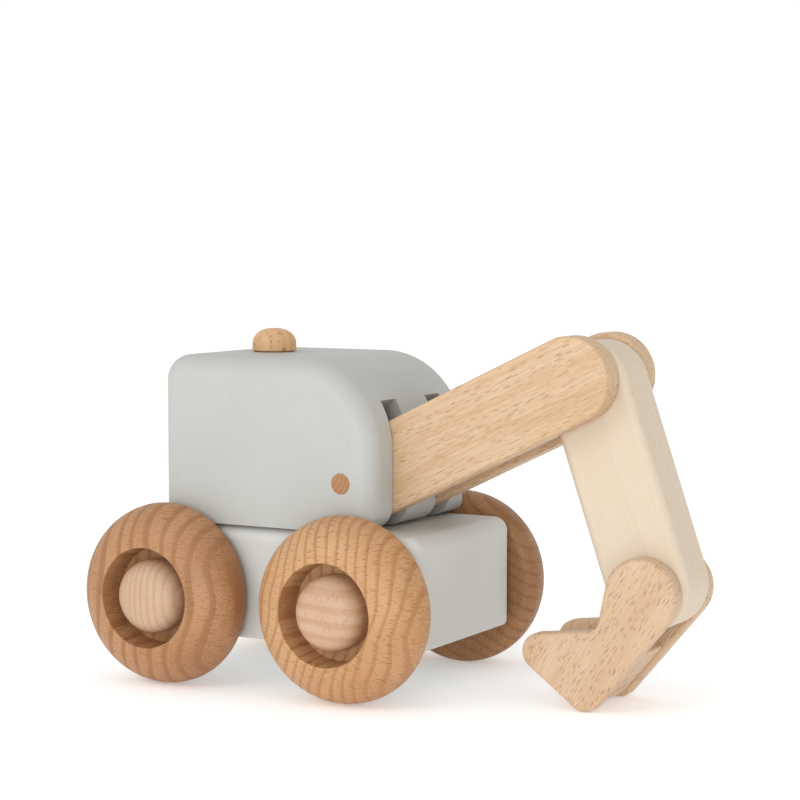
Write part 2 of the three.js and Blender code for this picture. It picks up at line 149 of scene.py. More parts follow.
def beech(
    name,
    pale,
    deep,
    dash,
    grain,
    pith,
    ring_gap=3.5,
    ring_depth=0.5,
    ring_edge=1.0,
    dash_size=(5.0, 1.1, 7.0),
    dash_reach=0.26,
    dash_depth=0.6,
    wander=3.0,
    roughness=0.5,
    fibre_depth=0.9,
):
    """grain: the way the fibres run. pith: a point on the pith line, mm. dash_size: the space that one ray
    has, mm, out from the pith, round it and along the grain. dash_reach: the part of it that it fills.
    wander: how far the rings stray, mm. ring_edge: over 1 draws the late wood in to a thinner line."""
    material = bpy.data.materials.new(name)
    material.use_nodes = True
    tree = material.node_tree
    shader = tree.nodes["Principled BSDF"]
    shader.inputs["IOR"].default_value = WOOD_IOR

    place = add_node(tree, "ShaderNodeTexCoord").outputs["Object"]
    turn = Vector(grain).normalized().to_track_quat("X", "Z").to_euler()
    local = add_node(
        tree,
        "ShaderNodeMapping",
        {"Vector": place},
        {"Location": Vector(pith) * MM, "Rotation": turn, "Scale": (MM, MM, MM)},
        vector_type="TEXTURE",
    ).outputs["Vector"]
    xyz = add_node(tree, "ShaderNodeSeparateXYZ", {"Vector": local})
    along, side, up = xyz.outputs

    stretched = add_node(
        tree, "ShaderNodeMapping", {"Vector": local}, {"Scale": DRIFT_SCALE}
    ).outputs["Vector"]
    drift = add_node(
        tree, "ShaderNodeTexNoise", {"Vector": stretched}, {"Scale": 1.0, "Detail": 1.0}
    ).outputs["Fac"]
    # The noise is about a half and strays about a quarter each way, which makes this the wander each way.
    drift_mm = add_node(
        tree, "ShaderNodeMath", {0: drift}, {1: wander * 4, 2: -wander * 2}, operation="MULTIPLY_ADD"
    ).outputs[0]

    across = add_node(tree, "ShaderNodeCombineXYZ", {"Y": side, "Z": up}).outputs[0]
    distance = add_node(tree, "ShaderNodeVectorMath", {0: across}, operation="LENGTH").outputs["Value"]
    radius = add_node(tree, "ShaderNodeMath", {0: distance, 1: drift_mm}, operation="ADD").outputs[0]
    angle = add_node(tree, "ShaderNodeMath", {0: up, 1: side}, operation="ARCTAN2").outputs[0]

    ring = add_node(
        tree, "ShaderNodeMath", {0: radius}, {1: ring_gap}, operation="DIVIDE"
    ).outputs[0]
    ring_part = add_node(tree, "ShaderNodeMath", {0: ring}, operation="FRACT").outputs[0]
    late_wood = add_node(
        tree,
        "ShaderNodeMapRange",
        {"Value": ring_part},
        {"From Min": LATE_WOOD, "From Max": RING_BREAK, "To Min": 0.0, "To Max": 1.0},
        interpolation_type="SMOOTHSTEP",
    ).outputs[0]
    ring_end = add_node(
        tree,
        "ShaderNodeMapRange",
        {"Value": ring_part},
        {"From Min": RING_BREAK, "From Max": 1.0, "To Min": 1.0, "To Max": 0.0},
    ).outputs[0]
    ring_line = add_node(
        tree, "ShaderNodeMath", {0: late_wood}, {1: ring_edge}, operation="POWER"
    ).outputs[0]
    ring_tone = add_node(
        tree, "ShaderNodeMath", {0: ring_line, 1: ring_end}, operation="MULTIPLY"
    ).outputs[0]

    # The rays fan out from the pith, so their spacing round it is true at one distance from it only.
    from_pith = max(LEAST_PITH, Vector(pith).length)
    out_cell, round_cell, along_cell = dash_size
    out_step = add_node(
        tree, "ShaderNodeMath", {0: radius}, {1: 1 / out_cell}, operation="MULTIPLY"
    ).outputs[0]
    round_step = add_node(
        tree, "ShaderNodeMath", {0: angle}, {1: from_pith / round_cell}, operation="MULTIPLY"
    ).outputs[0]
    along_step = add_node(
        tree, "ShaderNodeMath", {0: along}, {1: 1 / along_cell}, operation="MULTIPLY"
    ).outputs[0]
    ray_place = add_node(
        tree, "ShaderNodeCombineXYZ", {"X": out_step, "Y": round_step, "Z": along_step}
    ).outputs[0]
    cells = add_node(tree, "ShaderNodeTexVoronoi", {"Vector": ray_place}, {"Scale": 1.0})
    ray = add_node(
        tree,
        "ShaderNodeMapRange",
        {"Value": cells.outputs["Distance"]},
        {"From Min": dash_reach * DASH_CORE, "From Max": dash_reach, "To Min": 1.0, "To Max": 0.0},
    ).outputs[0]
    chance = add_node(tree, "ShaderNodeSeparateXYZ", {"Vector": cells.outputs["Color"]}).outputs[0]
    strength = add_node(
        tree,
        "ShaderNodeMath",
        {0: chance},
        {1: 1 - FAINTEST_DASH, 2: FAINTEST_DASH},
        operation="MULTIPLY_ADD",
    ).outputs[0]
    ray_tone = add_node(tree, "ShaderNodeMath", {0: ray, 1: strength}, operation="MULTIPLY").outputs[0]

    fibre_place = add_node(
        tree, "ShaderNodeMapping", {"Vector": local}, {"Scale": FIBRE_SCALE}
    ).outputs["Vector"]
    fibre = add_node(
        tree,
        "ShaderNodeTexNoise",
        {"Vector": fibre_place},
        {"Scale": 1.0, "Detail": 3.0, "Roughness": 0.6},
    ).outputs["Fac"]

    rings = add_node(
        tree, "ShaderNodeMath", {0: ring_tone}, {1: ring_depth}, operation="MULTIPLY"
    ).outputs[0]
    fibres = add_node(
        tree,
        "ShaderNodeMath",
        {0: fibre},
        {1: fibre_depth, 2: GROUND_TONE - fibre_depth / 2},
        operation="MULTIPLY_ADD",
    ).outputs[0]
    patches = add_node(tree, "ShaderNodeMath", {0: drift, 1: fibres}, operation="ADD").outputs[0]
    mix_amount = add_node(
        tree, "ShaderNodeMath", {0: rings, 1: patches}, operation="ADD", use_clamp=True
    ).outputs[0]
    wood = add_node(
        tree,
        "ShaderNodeMix",
        {"Factor": mix_amount},
        {MIX_FIRST: hex_colour(pale), MIX_SECOND: hex_colour(deep)},
        data_type="RGBA",
    ).outputs[MIX_RESULT]
    dash_amount = add_node(
        tree, "ShaderNodeMath", {0: ray_tone}, {1: dash_depth}, operation="MULTIPLY", use_clamp=True
    ).outputs[0]
    dashed = add_node(
        tree,
        "ShaderNodeMix",
        {"Factor": dash_amount, MIX_FIRST: wood},
        {MIX_SECOND: hex_colour(dash)},
        data_type="RGBA",
    ).outputs[MIX_RESULT]
    tree.links.new(dashed, shader.inputs["Base Color"])

    rough = add_node(
        tree,
        "ShaderNodeMath",
        {0: fibre},
        {1: SHEEN_SPREAD, 2: roughness - SHEEN_SPREAD / 2},
        operation="MULTIPLY_ADD",
    ).outputs[0]
    tree.links.new(rough, shader.inputs["Roughness"])
    height = add_node(
        tree, "ShaderNodeMath", {0: ray_tone}, {1: -DASH_HOLLOW}, operation="MULTIPLY"
    ).outputs[0]
    relief = add_node(tree, "ShaderNodeMath", {0: height, 1: fibre}, operation="ADD").outputs[0]
    bump = add_node(
        tree, "ShaderNodeBump", {"Height": relief}, {"Strength": WOOD_BUMP, "Distance": WOOD_RELIEF * MM}
    )
    tree.links.new(bump.outputs["Normal"], shader.inputs["Normal"])
    return material


# %% [markdown]
# ## Paint on beech
# The chassis and the cab have a thin coat of water-based paint. It gives the eye an even pale grey with a
# satin sheen, and the wood's grain shows through as a very faint relief. Inside the sawn slots the paint
# lies on a rough cut, so it's duller there. It's also painted darker, partly for the rough paint's own tone
# and partly as painted shade deep in the narrow slots.

# %% Grey paint
PAINT_IOR = 1.5
# Waves in each mm. A thin coat follows the coarser grain only, so this is drawn about 0.5 mm across.
GRAIN_ALONG = 0.12
GRAIN_ACROSS = 1.9
# Waves in each metre: slow changes in the coat's thickness, about 36 mm long.
COAT_CLOUDS = 28.0
COAT_CONTRAST = 0.9
COAT_PALENESS = 0.4
COAT_SHEEN_SPREAD = 0.12
COAT_BUMP = 0.35


def paint(name, colour, shade, grain, roughness, relief):
    """colour, shade: the coat's two tones. grain: the axis the fibres run along. relief: its height, mm."""
    material = bpy.data.materials.new(name)
    material.use_nodes = True
    tree = material.node_tree
    shader = tree.nodes["Principled BSDF"]
    shader.inputs["IOR"].default_value = PAINT_IOR
    place = add_node(tree, "ShaderNodeTexCoord").outputs["Object"]
    scale = [(GRAIN_ALONG if axis == grain else GRAIN_ACROSS) / MM for axis in "XYZ"]
    stretched = add_node(tree, "ShaderNodeMapping", {"Vector": place}, {"Scale": scale}).outputs[0]
    fibre = add_node(
        tree,
        "ShaderNodeTexNoise",
        {"Vector": stretched},
        {"Scale": 1.0, "Detail": 3.0, "Roughness": 0.55},
    ).outputs["Fac"]
    cloud = add_node(
        tree, "ShaderNodeTexNoise", {"Vector": place}, {"Scale": COAT_CLOUDS, "Detail": 2.0}
    ).outputs["Fac"]
    both = add_node(tree, "ShaderNodeMath", {0: fibre, 1: cloud}, operation="ADD").outputs[0]
    amount = add_node(
        tree,
        "ShaderNodeMath",
        {0: both},
        {1: COAT_CONTRAST, 2: -COAT_PALENESS},
        operation="MULTIPLY_ADD",
        use_clamp=True,
    ).outputs[0]
    coat = add_node(
        tree,
        "ShaderNodeMix",
        {"Factor": amount},
        {MIX_FIRST: hex_colour(colour), MIX_SECOND: hex_colour(shade)},
        data_type="RGBA",
    ).outputs[MIX_RESULT]
    tree.links.new(coat, shader.inputs["Base Color"])
    rough = add_node(
        tree,
        "ShaderNodeMath",
        {0: fibre},
        {1: COAT_SHEEN_SPREAD, 2: roughness - COAT_SHEEN_SPREAD / 2},
        operation="MULTIPLY_ADD",
    ).outputs[0]
    tree.links.new(rough, shader.inputs["Roughness"])
    bump = add_node(
        tree, "ShaderNodeBump", {"Height": fibre}, {"Strength": COAT_BUMP, "Distance": relief * MM}
    )
    tree.links.new(bump.outputs["Normal"], shader.inputs["Normal"])
    return material


grey_paint = paint("grey water-based paint on sanded beech", "#BBBCB7", "#B0B1AC", "Z", 0.5, 0.06)
# The chassis has its own copy of the paint, a shade paler: painted light that lifts the shade which the cab
# and the wheels cast on it.
chassis_grey_painted_lighter = paint("paler grey paint on sanded beech, as painted light", "#CECECA", "#C3C3BF", "X", 0.5, 0.06)
# The slots' paint is rough and duller, and darker partly as painted shade deep inside the narrow slots.
slot_paint_and_painted_shade = paint("grey paint on rough sawn beech, darkened as painted shade", "#B0B0AC", "#8E8D89", "Z", 0.8, 0.25)
print("paints:", grey_paint.name, "/", chassis_grey_painted_lighter.name, "/", slot_paint_and_painted_shade.name)

# %% [markdown]
# ## Sawn boards with rounded edges
# A maker saws a board's outline on a bandsaw and then runs a round-over cutter along its edges. The mesh is
# made the same way: an outline is a belt drawn tightly round a few discs, and a slab is that outline
# lofted through levels, pulled in near each face by the cutter's quarter circle.

# %% Outlines and slabs
# Points nearer than this, in metres, are one point. A cut can leave slivers a little wider than that.
SAME_POINT = 1e-7
CUT_SLIVER = 2e-6
# A cutter for a hole right through runs this far each side of the toy's middle, mm.
CUTTER_REACH = 60.0
# Edges sharper than the first angle stay sharp to the eye, and those sharper than the second are eased.
CREASE = math.radians(35)
EASED_FROM = math.radians(40)


def arc(x, z, across, up, start, end, steps):
    """Points of an arc of an ellipse round (x, z), both ends included. start, end: angles from +X."""
    angles = [start + (end - start) * k / steps for k in range(steps + 1)]
    return [(x + across * math.cos(a), z + up * math.sin(a)) for a in angles]


def belt(discs, inset=0.0, steps=20):
    """A belt round discs (x, y, radius), counter-clockwise. A negative radius is a hollow corner."""
    rings = [(x, y, r - inset) for x, y, r in discs]
    normals = []
    for i, (ax, ay, ar) in enumerate(rings):
        bx, by, br = rings[(i + 1) % len(rings)]
        apart = math.hypot(bx - ax, by - ay)
        normals.append(math.atan2(by - ay, bx - ax) - math.acos((ar - br) / apart))
    points = []
    for i, (x, y, r) in enumerate(rings):
        start = normals[i - 1]
        sweep = math.fmod(normals[i] - start, 2 * math.pi)
        if r > 0 and sweep < 0:
            sweep += 2 * math.pi
        if r < 0 and sweep > 0:
            sweep -= 2 * math.pi
        points += arc(x, y, r, r, start, start + sweep, steps)
    return points


def loft(name, rings):
    """Rings of equally many points, bottom first and counter-clockwise from above, closed with caps."""
    mesh = bmesh.new()
    rows = [[mesh.verts.new(p) for p in ring] for ring in rings]
    count = len(rows[0])
    for low, high in zip(rows, rows[1:]):
        for i in range(count):
            j = (i + 1) % count
            mesh.faces.new((low[i], low[j], high[j], high[i]))
    mesh.faces.new(list(reversed(rows[0])))
    mesh.faces.new(rows[-1])
    bmesh.ops.remove_doubles(mesh, verts=mesh.verts, dist=SAME_POINT)
    data = bpy.data.meshes.new(name)
    mesh.to_mesh(data)
    mesh.free()
    piece = bpy.data.objects.new(name, data)
    bpy.context.scene.collection.objects.link(piece)
    return piece


def slab(name, discs, low, high, low_round, high_round, steps=20, edge_steps=6):
    """A slab in mm whose outline lies in X and Y, with rounded edges."""
    levels = []
    for k in range(edge_steps + 1):
        a = k / edge_steps * math.pi / 2
        levels.append((low_round * (1 - math.sin(a)), low + low_round * (1 - math.cos(a))))
    for k in range(edge_steps, -1, -1):
        a = k / edge_steps * math.pi / 2
        levels.append((high_round * (1 - math.sin(a)), high - high_round * (1 - math.cos(a))))
    rings = [[(x * MM, y * MM, z * MM) for x, y in belt(discs, inset, steps)] for inset, z in levels]
    return loft(name, rings)


UPRIGHT = Matrix.Rotation(math.pi / 2, 4, "X")


def board(name, discs, inner, outer, edge, steps=20, edge_steps=6):
    """A slab stood on edge: its outline lies in X and Z, and its thickness runs along Y."""
    piece = slab(name, discs, -max(inner, outer), -min(inner, outer), edge, edge, steps, edge_steps)
    piece.data.transform(UPRIGHT)
    return piece


def rod(name, radius, low, high, sides=64):
    """A plain cutter for a drilled hole along Y."""
    turn = [2 * math.pi * k / sides for k in range(sides)]
    circle = [(radius * MM * math.cos(a), radius * MM * math.sin(a)) for a in turn]
    return loft(name, [[(x, y * MM, z) for x, z in circle] for y in (low, high)])


def prism(name, points, low, high):
    """A plain cutter whose outline lies in X and Z, in mm."""
    rings = [[(x * MM, y * MM, z * MM) for x, z in points] for y in (high, low)]
    return loft(name, rings)


def place(piece, where, lean=0.0):
    """Turns a piece about Y, so that +X leans up by that angle, and moves it, both in its mesh."""
    piece.data.transform(Matrix.Translation(where) @ Matrix.Rotation(-lean, 4, "Y"))
    return piece


def saw(piece, cutters, operation="DIFFERENCE"):
    """Cuts a piece with other solids, removes them and joins points that the cuts leave almost together."""
    for cutter in cutters:
        step = piece.modifiers.new("cut", "BOOLEAN")
        step.object = cutter
        step.operation = operation
        step.solver = "EXACT"
    bake(piece, cutters)
    mesh = bmesh.new()
    mesh.from_mesh(piece.data)
    bmesh.ops.remove_doubles(mesh, verts=mesh.verts, dist=CUT_SLIVER)
    mesh.to_mesh(piece.data)
    mesh.free()
    return piece


def bake(piece, used=()):
    """Turns the piece's modifiers into plain mesh."""
    evaluated = piece.evaluated_get(bpy.context.evaluated_depsgraph_get())
    data = bpy.data.meshes.new_from_object(evaluated)
    piece.modifiers.clear()
    piece.data = data
    for other in used:
        bpy.data.objects.remove(other)
    return piece


def sand(piece, ease=0.0):
    """Eases sharp edges by so many mm, and shades the rounds smooth and the flats flat."""
    if ease:
        bevel = piece.modifiers.new("ease", "BEVEL")
        bevel.width = ease * MM
        bevel.segments = 2
        bevel.limit_method = "ANGLE"
        bevel.angle_limit = EASED_FROM
        bevel.miter_outer = "MITER_ARC"
        bake(piece)
    piece.data.polygons.foreach_set("use_smooth", [True] * len(piece.data.polygons))
    piece.data.set_sharp_from_angle(angle=CREASE)
    weights = piece.modifiers.new("flats", "WEIGHTED_NORMAL")
    weights.keep_sharp = True
    weights.weight = 100
    return bake(piece)


def fit(piece, material, node, body):
    """Gives a piece its finish, hides the CAD node that it stands for and lets it move with its body."""
    if not piece.data.materials:
        piece.data.materials.append(material)
    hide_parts(node)
    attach(piece, body)
    print(f"{piece.name}: {in_mm(piece.dimensions)} mm, {len(piece.data.polygons)} faces")


# %% [markdown]
# ## The chassis
# A block of beech, planed square, with its upright corners and its top and bottom edges rounded on a router
# table and then painted. It takes its size from the CAD block. Four holes are drilled in its sides for the
# axle pegs and one in its top for the roof peg, each a glue gap wider and deeper than its peg.

# %% Chassis block
low, high = (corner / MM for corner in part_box("chassis"))
CHASSIS_CORNER = 6.5
CHASSIS_TOP_ROUND = 5.5
CHASSIS_BOTTOM_ROUND = 2.2
GLUE_GAP = 0.25
AXLE_PEG_RADIUS = 5.0
ROOF_PEG_RADIUS = 4.0
OPEN_AIR = 200.0
inner_x = (low.x + CHASSIS_CORNER, high.x - CHASSIS_CORNER)
inner_y = (low.y + CHASSIS_CORNER, high.y - CHASSIS_CORNER)
corners = [
    (inner_x[1], inner_y[0], CHASSIS_CORNER),
    (inner_x[1], inner_y[1], CHASSIS_CORNER),
    (inner_x[0], inner_y[1], CHASSIS_CORNER),
    (inner_x[0], inner_y[0], CHASSIS_CORNER),
]
chassis = slab(
    "chassis_block",
    corners,
    low.z,
    high.z,
    CHASSIS_BOTTOM_ROUND,
    CHASSIS_TOP_ROUND,
    steps=12,
    edge_steps=8,
)
drills = []
for end in ("front", "rear"):
    for side_name, side in SIDES.items():
        peg_low, peg_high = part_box(f"axle_peg_{end}_{side_name}")
        peg_end = (peg_high if side < 0 else peg_low).y / MM - side * GLUE_GAP
        drill = rod("axle_hole", AXLE_PEG_RADIUS + GLUE_GAP, *sorted((peg_end, side * OPEN_AIR)))
        centre = (peg_low + peg_high) / 2
        drills.append(place(drill, Vector((centre.x, 0, centre.z))))


def roof_drill():
    """A cutter for the roof peg's upright hole, from just under the peg up into the open air."""
    peg_low, peg_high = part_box("roof_peg")
    drill = rod("roof_hole", ROOF_PEG_RADIUS + GLUE_GAP, peg_low.z / MM - GLUE_GAP, OPEN_AIR)
    drill.data.transform(UPRIGHT)
    return place(drill, Vector(((peg_low.x + peg_high.x) / 2, 0, 0)))


saw(chassis, [*drills, roof_drill()])
fit(sand(chassis), chassis_grey_painted_lighter, "chassis", "base")

# %% [markdown]
# ## The cab
# The cab is a second block, with a large curve at the front, where a digger's windscreen would be. All its
# edges are rounded, except at its flat foot, where only the front one is. Two slots are sawn in from the
# front for the boom's planks: each is round at the back, where the plank's end turns, and has a sloping roof
# that stops the boom. The dowel's hole goes right through, and the roof peg's hole goes on down into the
# chassis.

# %% Cab block
low, high = (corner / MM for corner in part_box("cab"))
CAB_FRONT_TOP = 34.0
CAB_REAR_TOP = 10.0
CAB_SIDE_ROUND = 8.6
CAB_FRONT_FOOT = 9.0
SLOT_INNER = 11.5
SLOT_OUTER = 23.0
SLOT_RADIUS = 17.0
BOOM_STOP = math.radians(43)
SAWN_EASE = 0.5
DOWEL_RADIUS = 4.0
# The block's lower corners lie below its foot and are sawn off, which leaves the flat foot's edge crisp.
sunk = low.z - CAB_REAR_TOP
corners = [
    (low.x + CAB_REAR_TOP, high.z - CAB_REAR_TOP, CAB_REAR_TOP),
    (low.x + CAB_REAR_TOP, sunk, CAB_REAR_TOP),
    (high.x - CAB_REAR_TOP, sunk, CAB_REAR_TOP),
    (high.x - CAB_FRONT_TOP, high.z - CAB_FRONT_TOP, CAB_FRONT_TOP),
]
cab = board("cab_block", corners, low.y, high.y, CAB_SIDE_ROUND, steps=24, edge_steps=10)

BEYOND = 30.0
QUARTER = math.pi / 2
foot = [(low.x - BEYOND, low.z), (low.x - BEYOND, sunk - BEYOND), (high.x + BEYOND, sunk - BEYOND)]
foot.append((high.x + BEYOND, low.z + CAB_FRONT_FOOT))
toe_x, toe_z = high.x - CAB_FRONT_FOOT, low.z + CAB_FRONT_FOOT
foot += arc(toe_x, toe_z, CAB_FRONT_FOOT, CAB_FRONT_FOOT, 0, -QUARTER, 12)
pivot_x, pivot_z = cab_dowel.x / MM, cab_dowel.z / MM
roof_x = pivot_x - SLOT_RADIUS * math.sin(BOOM_STOP) + 3 * BEYOND * math.cos(BOOM_STOP)
roof_z = pivot_z + SLOT_RADIUS * math.cos(BOOM_STOP) + 3 * BEYOND * math.sin(BOOM_STOP)
slot = [(pivot_x - SLOT_RADIUS, pivot_z - BEYOND), (pivot_x + 2 * BEYOND, pivot_z - BEYOND)]
slot.append((roof_x, roof_z))
slot += arc(pivot_x, pivot_z, SLOT_RADIUS, SLOT_RADIUS, QUARTER + BOOM_STOP, 2 * QUARTER, 16)
cutters = [prism("foot_cut", foot, -CUTTER_REACH, CUTTER_REACH)]
for side in SIDES.values():
    near, far = sorted((side * SLOT_INNER, side * SLOT_OUTER))
    cutters.append(prism("slot_cut", slot, near, far))
hole = rod("dowel_hole", DOWEL_RADIUS + GLUE_GAP, -CUTTER_REACH, CUTTER_REACH)
cutters.append(place(hole, cab_dowel))
cutters.append(roof_drill())
saw(cab, cutters)
cab.data.materials.append(grey_paint)
cab.data.materials.append(slot_paint_and_painted_shade)
sand(cab, SAWN_EASE)
curve_x, curve_z = high.x - CAB_FRONT_TOP, high.z - CAB_FRONT_TOP
# Which faces a saw made: how near they lie to a slot's own sides and back, how far below the cab's front
# curve and roof, all in mm, and how squarely they have to face.
SIDE_MARGIN = 0.05
BACK_MARGIN = 1.0
SKIN_DEPTH = 0.6
ROOF_DEPTH = 2.0
SQUARE = 0.95


def in_slot(face):
    """True for a face of a slot's walls, back or roof, which a saw made. The rest is the block's skin."""
    x, y, z = face.center / MM
    forward, sideways, upward = face.normal
    between = SLOT_INNER - SIDE_MARGIN < abs(y) < SLOT_OUTER + SIDE_MARGIN
    from_curve = CAB_FRONT_TOP - math.hypot(x - curve_x, z - curve_z)
    under_skin = x < high.x - SAWN_EASE and z < high.z - ROOF_DEPTH and from_curve > SKIN_DEPTH
    wall = abs(sideways) > SQUARE and x > pivot_x - SLOT_RADIUS - BACK_MARGIN
    back_or_roof = abs(sideways) < 1 - SQUARE and (forward > 0.5 or upward < -0.3)
    return between and under_skin and (wall or back_or_roof)


# These faces take the slots' darker paint, which is partly painted shade.
for face in cab.data.polygons:
    if in_slot(face):
        face.material_index = 1
fit(cab, grey_paint, "cab", "base")

# %% [markdown]
# ## Turning
# Wheels, pegs and dowels are all turned: one profile swept round an axis. That is a rule, so it's a Geometry
# Nodes tree. The profile is drawn as a line of points, and the tree sweeps it round a circle, closes the
# poles, and gives the result its wood. The circle's radius is taken off the profile first, so the sweep
# meets the drawn radius exactly.

# %% The lathe
CORE = 1.0
# Points nearer than this, in metres, are merged, which closes a pole.
POLE_GAP = 1e-6
DOME_FULLNESS = 0.86
# A peg's foot has a chamfer, and the lower rim of its head is eased by so much inwards and upwards, mm.
CHAMFER = 0.6
RIM_EASE = 0.5
RIM_RISE = 0.4


def lathe_tree():
    tree = bpy.data.node_groups.new("lathe", "GeometryNodeTree")
    face = tree.interface
    face.new_socket("Profile", in_out="INPUT", socket_type="NodeSocketGeometry")
    face.new_socket("Sides", in_out="INPUT", socket_type="NodeSocketInt")
    face.new_socket("Core radius", in_out="INPUT", socket_type="NodeSocketFloat")
    face.new_socket("Finish", in_out="INPUT", socket_type="NodeSocketMaterial")
    face.new_socket("Turned", in_out="OUTPUT", socket_type="NodeSocketGeometry")
    start = add_node(tree, "NodeGroupInput").outputs
    profile = add_node(tree, "GeometryNodeMeshToCurve", {"Mesh": start["Profile"]}).outputs[0]
    circle = add_node(
        tree,
        "GeometryNodeCurvePrimitiveCircle",
        {"Resolution": start["Sides"], "Radius": start["Core radius"]},
        mode="RADIUS",
    ).outputs[0]
    circle = add_node(tree, "GeometryNodeSetCurveNormal", {"Curve": circle}, mode="Z_UP").outputs[0]
    swept = add_node(
        tree, "GeometryNodeCurveToMesh", {"Curve": circle, "Profile Curve": profile}
    ).outputs[0]
    closed = add_node(
        tree, "GeometryNodeMergeByDistance", {"Geometry": swept}, {"Distance": POLE_GAP}
    ).outputs[0]
    real = add_node(tree, "GeometryNodeRealizeInstances", {"Geometry": closed}).outputs[0]
    finished = add_node(
        tree, "GeometryNodeSetMaterial", {"Geometry": real, "Material": start["Finish"]}
    ).outputs[0]
    add_node(tree, "NodeGroupOutput", {"Turned": finished})
    return tree


lathe = lathe_tree()
socket = {item.name: item.identifier for item in lathe.interface.items_tree if item.item_type == "SOCKET"}


def turned(name, profile, material, axis, where, sides=96, closed=False):
    """profile: (radius, height) pairs in mm. axis: the way that height runs. where: the foot, in metres."""
    data = bpy.data.meshes.new(name)
    points = [(r * MM - CORE, -h * MM, 0) for r, h in profile]
    edges = [(i, i + 1) for i in range(len(points) - 1)]
    if closed:
        edges.append((len(points) - 1, 0))
    data.from_pydata(points, edges, [])
    piece = bpy.data.objects.new(name, data)
    bpy.context.scene.collection.objects.link(piece)
    step = piece.modifiers.new("lathe", "NODES")
    step.node_group = lathe
    step[socket["Sides"]] = sides
    step[socket["Core radius"]] = CORE
    step[socket["Finish"]] = material
    bake(piece)
    mesh = bmesh.new()
    mesh.from_mesh(piece.data)
    bmesh.ops.recalc_face_normals(mesh, faces=mesh.faces)
    mesh.to_mesh(piece.data)
    mesh.free()
    turn = Vector(axis).to_track_quat("Z", "Y").to_matrix().to_4x4()
    piece.data.transform(Matrix.Translation(where) @ turn)
    return sand(piece)


def peg_profile(radius, length, head_radius, side, height, steps=18):
    """A peg with a domed head: a chamfered foot, a shank, and a head with a short straight side and then a
    dome that is a little fuller than a half ellipse."""
    neck = length - side - height
    profile = [(0, 0), (radius - CHAMFER, 0), (radius, CHAMFER), (radius, neck)]
    profile += [(head_radius - RIM_EASE, neck), (head_radius, neck + RIM_RISE)]
    for k in range(steps):
        angle = QUARTER * k / steps
        out, up = math.cos(angle) ** DOME_FULLNESS, math.sin(angle) ** DOME_FULLNESS
        profile.append((head_radius * out, neck + side + height * up))
    return profile + [(0, length)]


# %% [markdown]
# ## Wheels
# Each wheel is turned from beech that is cut so its end grain shows on the face: the rings cross the face as
# bands, and the rays run across them as short lines. No two blanks are cut alike, so each wheel has its
# own pith line and ring spacing. The oil makes them warmer and darker than the arm, with a soft sheen. The
# tread is round, widest well behind the outer face, and the recess for the peg's head has a crisp rim.

# %% Wheels
TURNING_GAP = 0.3
WHEEL_RADIUS = 35.0
WHEEL_WIDTH = 22.0
RECESS_RADIUS = 19.2
RECESS_DEPTH = 12.0
RECESS_TAPER = 0.7
TREAD_DEPTH = 16.8
BORE_RADIUS = AXLE_PEG_RADIUS + TURNING_GAP
# The recess's rim: how far outside its wall, and how far below the face.
RIM = ((0.5, 0.0), (0.1, 0.2), (0.0, 0.6))

# Each wheel's pith is at an offset, along X and Z, from its own axle.
wheel_woods = {
    "wheel_front_right": dict(pith=(-75, 14), ring_gap=4.4, wander=3.6, ring_depth=0.8),
    "wheel_rear_right": dict(pith=(-165, 20), ring_gap=7.0, wander=4.4, ring_depth=0.95),
    "wheel_front_left": dict(pith=(60, 70), ring_gap=4.6, wander=3.0, ring_depth=0.55),
    "wheel_rear_left": dict(pith=(-30, 110), ring_gap=6.0, wander=4.0, ring_depth=0.7),
}
# Each wheel has its own tones. The front left wheel's are darker as painted shade, for the shade on the
# inner face of that far wheel.
wheel_tones_and_painted_shade = {
    "wheel_front_right": ("#D4AC80", "#AE7C4E", "#8A5A30"),
    "wheel_rear_right": ("#CDA074", "#9C6B42", "#7C502B"),
    "wheel_front_left": ("#B98B62", "#8E623A", "#6C4726"),
    "wheel_rear_left": ("#DAAB7D", "#BE895C", "#9C6A3E"),
}


def beside(place, x, y, z):
    """A point in mm: x and z from a place on a hinge or an axle, which is in metres, and y as it is."""
    return (place.x / MM + x, y, place.z / MM + z)


def wheel_profile():
    behind = WHEEL_WIDTH - TREAD_DEPTH
    floor = WHEEL_WIDTH - RECESS_DEPTH
    crown = WHEEL_RADIUS - RECESS_RADIUS
    profile = [(BORE_RADIUS, 0)]
    profile += arc(WHEEL_RADIUS - behind, behind, behind, behind, -QUARTER, 0, 8)
    profile += arc(RECESS_RADIUS, behind, crown, TREAD_DEPTH, 0, QUARTER, 24)[1:-1]
    profile += [(RECESS_RADIUS + out, WHEEL_WIDTH - down) for out, down in RIM]
    profile += [(RECESS_RADIUS - RECESS_TAPER, floor), (BORE_RADIUS, floor)]
    return profile


for end in ("front", "rear"):
    for side_name, side in SIDES.items():
        name = f"wheel_{end}_{side_name}"
        low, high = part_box(name)
        centre = (low + high) / 2
        foot_y = high.y if side < 0 else low.y
        cut = dict(wheel_woods[name])
        pith_x, pith_z = cut.pop("pith")
        wood = beech(
            f"turned oiled beech, {end} {side_name} wheel",
            *wheel_tones_and_painted_shade[name],
            grain=(0, 1, 0),
            pith=beside(centre, pith_x, 0, pith_z),
            ring_edge=2.4,
            dash_size=(4.2, 0.48, 8.0),
            dash_reach=0.34,
            dash_depth=1.0,
            fibre_depth=1.6,
            roughness=0.5,
            **cut,
        )
        wheel = turned(
            f"{end}_{side_name}_wheel",
            wheel_profile(),
            wood,
            (0, side, 0),
            Vector((centre.x, foot_y, centre.z)),
            closed=True,
        )
        fit(wheel, wood, name, name)

# %% [markdown]
# ## Pegs and dowels
# The axle pegs are bought turned pegs with a domed head, of slightly pinker steamed beech, smooth and with a
# clearer sheen than the wheels. Their heads fill most of the wheel's recess. The knob on the roof is the
# same kind of peg, and the arm turns on plain dowels, of which only the one through the cab shows, sanded
# flush with the paint: a dark spot of end grain.

